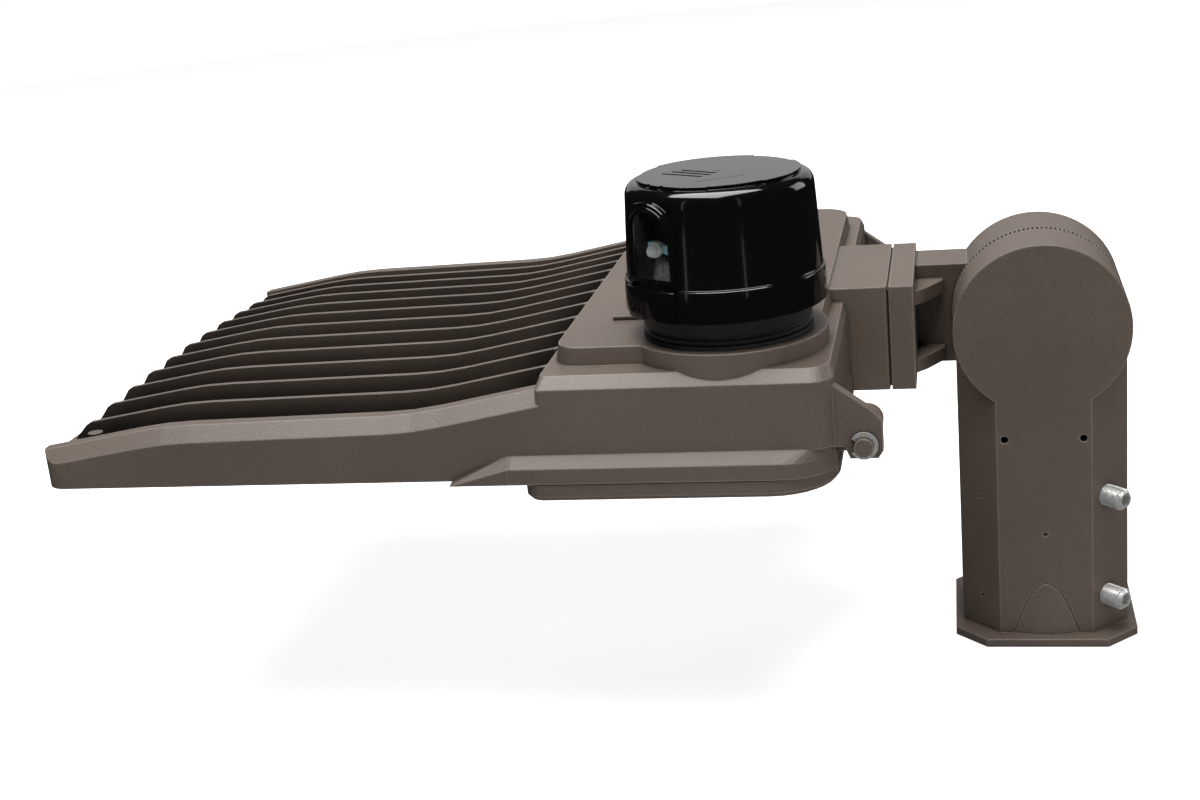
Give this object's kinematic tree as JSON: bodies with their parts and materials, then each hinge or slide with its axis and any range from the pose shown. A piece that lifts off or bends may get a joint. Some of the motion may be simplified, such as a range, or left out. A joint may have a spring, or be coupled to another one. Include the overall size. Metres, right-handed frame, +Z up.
{
  "type": "shoebox area light",
  "caption": "A finned area light head on a serrated knuckle and an octagonal slip fitter for a pole tenon, with a hinged driver door and a twist-lock photocell.",
  "frame": {"origin": "centre of the mouth of the tenon socket, at the underside of the slip fitter's flange", "axes": "+Z up along the pole, the light head reaches out towards -X, the knuckle's bolt runs along Y with the near (slip fitter) disc at -Y"},
  "size_m": [0.4615, 0.293, 0.237],
  "materials": {
    "bronze_powder": "dark bronze powder coat with a fine speckle, low sheen",
    "zinc_steel": "bright zinc plate",
    "black_rubber": "matt black silicone",
    "white_board": "white solder mask",
    "led_yellow": "phosphor",
    "clear_lens": "clear polycarbonate",
    "driver_case": "plain aluminium case",
    "black_plastic": "matt black moulding",
    "white_plastic": "white moulding",
    "brass_contact": "plain brass",
    "green_board": "green solder mask",
    "gloss_black": "gloss black polypropylene",
    "smoked_window": "smoked clear window"
  },
  "bodies": {
    "mount": {"slip_fitter_body": "bronze_powder", "tenon_set_screws": "zinc_steel", "knuckle_bolt": "zinc_steel", "knuckle_washer": "zinc_steel"},
    "head": {"knuckle_arm": "bronze_powder", "arm_gasket": "black_rubber", "arm_screws": "zinc_steel", "head_housing": "bronze_powder", "led_boards": "white_board", "leds": "led_yellow", "lens_plates": "clear_lens", "lens_gasket": "black_rubber", "lens_frame": "bronze_powder", "lens_screws": "zinc_steel", "led_driver": "driver_case", "driver_screws": "zinc_steel", "surge_protector": "black_plastic", "terminal_block": "white_plastic", "receptacle_gasket": "black_rubber"},
    "door": {"door": "bronze_powder", "door_gasket": "black_rubber", "door_screws": "zinc_steel", "hinge_pins": "bronze_powder", "hinge_clips": "zinc_steel"},
    "receptacle": {"receptacle_body": "black_plastic", "receptacle_nut": "black_plastic", "receptacle_contacts": "brass_contact"},
    "photocell": {"photocell_base": "black_plastic", "photocell_blades": "brass_contact", "photocell_board": "green_board", "light_sensor": "white_plastic", "photocell_cap": "gloss_black", "photocell_window": "smoked_window"}
  },
  "joints": [
    {"name": "knuckle_tilt", "type": "hinge", "parent": "mount", "child": "head", "pos_m": [0, 0, 0.147], "axis": [0, 1, 0], "range_deg": [-10, 90]},
    {"name": "door_hinge", "type": "hinge", "parent": "head", "child": "door", "pos_m": [-0.0725, 0, 0.1325], "axis": [0, -1, 0], "range_deg": [0, 75]},
    {"name": "receptacle_turn", "type": "hinge", "parent": "head", "child": "receptacle", "pos_m": [-0.127, -0.1, 0.1725], "axis": [0, 0, 1], "range_deg": [-170, 170]},
    {"name": "photocell_twist", "type": "hinge", "parent": "receptacle", "child": "photocell", "pos_m": [-0.127, -0.1, 0.1725], "axis": [0, 0, 1], "range_deg": [0, 15]}
  ]
}
